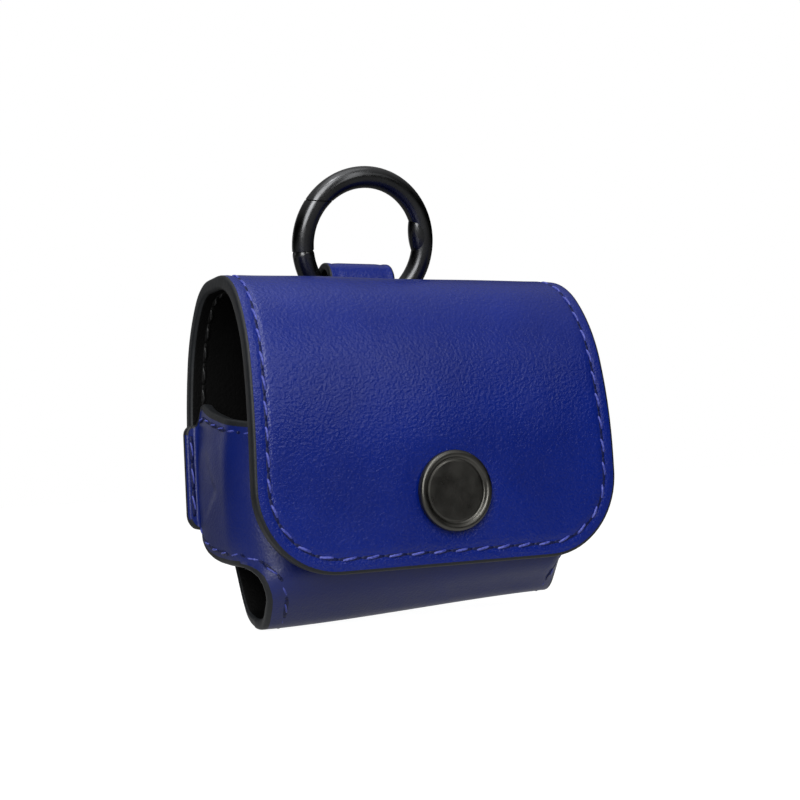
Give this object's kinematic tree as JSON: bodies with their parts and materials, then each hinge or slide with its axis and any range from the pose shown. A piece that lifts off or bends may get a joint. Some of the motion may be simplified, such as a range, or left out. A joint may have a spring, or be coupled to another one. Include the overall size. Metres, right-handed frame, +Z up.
{
  "type": "earbud case pouch",
  "caption": "Blue leather pouch for a small rounded charging case, with a wrap-over flap closed by a snap, and a spring gate ring in a leather loop on its back.",
  "frame": {"origin": "under the middle of the whole object, on the level of its lowest point", "axes": "+Z up, -Y the front with the snap, +X to the right of someone who looks at the front"},
  "size_m": [0.0698, 0.0382, 0.0811],
  "materials": {
    "blue_leather": "smooth fine grain leather, semi-gloss, charcoal painted edges",
    "black_lining": "matte black lining leather",
    "snap_metal": "dark gunmetal plate, satin",
    "ring_metal": "polished dark gunmetal plate",
    "spring_steel": "bright drawn spring wire"
  },
  "bodies": {
    "pouch": {"back_panel": "blue_leather", "back_lining": "black_lining", "pocket_leather": "blue_leather", "pocket_lining": "black_lining", "loop_base": "blue_leather", "snap_stud": "snap_metal", "stud_rivet": "snap_metal", "stud_washer": "snap_metal"},
    "flap": {"flap_leather": "blue_leather", "flap_lining": "black_lining", "snap_cap": "snap_metal", "snap_socket": "snap_metal", "socket_spring": "spring_steel"},
    "loop": {"loop_eye": "blue_leather"},
    "ring": {"ring_body": "ring_metal", "gate_pin": "spring_steel", "gate_spring": "spring_steel"},
    "gate": {"ring_gate": "ring_metal"}
  },
  "joints": [
    {"name": "flap_hinge", "type": "hinge", "parent": "pouch", "child": "flap", "pos_m": [0, 0.0018, 0.0586], "axis": [-1, 0, 0], "range_deg": [0, 130]},
    {"name": "loop_bend", "type": "hinge", "parent": "pouch", "child": "loop", "pos_m": [0, 0.01653, 0.05068], "axis": [-1, 0, 0], "range_deg": [0, 110]},
    {"name": "ring_turn", "type": "hinge", "parent": "loop", "child": "ring", "pos_m": [0.0012, 0.01231, 0.06728], "axis": [0, 0.9659, 0.2588], "range_deg": [-13, 20]},
    {"name": "gate_hinge", "type": "hinge", "parent": "ring", "child": "gate", "pos_m": [-0.01073, 0.01297, 0.06483], "axis": [0, 0.9659, 0.2588], "range_deg": [0, 30], "stiffness_Nm_per_rad": 0.002, "springref_deg": -20.05}
  ]
}
